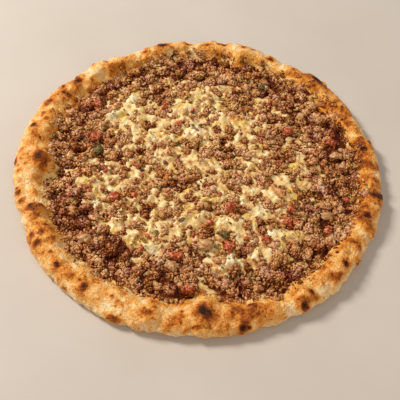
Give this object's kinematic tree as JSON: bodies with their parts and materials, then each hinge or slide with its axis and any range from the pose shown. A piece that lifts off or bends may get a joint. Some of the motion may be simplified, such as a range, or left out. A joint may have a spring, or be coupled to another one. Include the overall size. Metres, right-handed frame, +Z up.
{
  "type": "lahmacun",
  "caption": "Round lahmacun: a flatbread with a puffed, charred rim under crumbled minced meat, melted cheese pools and small pieces of tomato, onion and green pepper.",
  "frame": {"origin": "middle of the bread's bounding box, on the plane of its flat underside", "axes": "+Z up out of the toppings; X and Y along the table, with -Y the side that faced the viewer, where the largest charred bubble of the rim is"},
  "size_m": [0.3, 0.2998, 0.0186],
  "materials": {
    "bread": "baked dough, golden with browned and charred blisters, dry and floury",
    "minced_meat": "browned crumbled minced meat with a slight sheen of fat",
    "cheese": "melted pale yellow cheese, softly glossy, browned in spots",
    "tomato": "cooked red tomato and pepper flesh, moist",
    "onion": "cooked translucent onion, moist",
    "pepper": "cooked dark green pepper, moist"
  },
  "bodies": {
    "root": {"bread": "bread", "minced_meat": "minced_meat", "cheese_01": "cheese", "cheese_02": "cheese", "cheese_03": "cheese", "cheese_04": "cheese", "cheese_05": "cheese", "cheese_06": "cheese", "cheese_07": "cheese", "cheese_08": "cheese", "cheese_09": "cheese", "cheese_10": "cheese", "cheese_11": "cheese", "cheese_12": "cheese", "cheese_13": "cheese", "cheese_14": "cheese", "cheese_15": "cheese", "cheese_16": "cheese", "cheese_17": "cheese", "cheese_18": "cheese", "cheese_19": "cheese", "cheese_20": "cheese", "cheese_21": "cheese", "cheese_22": "cheese", "cheese_23": "cheese", "cheese_24": "cheese", "tomato_01": "tomato", "tomato_02": "tomato", "tomato_03": "tomato", "tomato_04": "tomato", "tomato_05": "tomato", "tomato_06": "tomato", "tomato_07": "tomato", "tomato_08": "tomato", "tomato_09": "tomato", "tomato_10": "tomato", "tomato_11": "tomato", "tomato_12": "tomato", "tomato_13": "tomato", "tomato_14": "tomato", "tomato_15": "tomato", "onion_01": "onion", "onion_02": "onion", "onion_03": "onion", "onion_04": "onion", "onion_05": "onion", "onion_06": "onion", "onion_07": "onion", "pepper_01": "pepper", "pepper_02": "pepper", "pepper_03": "pepper"}
  },
  "joints": []
}
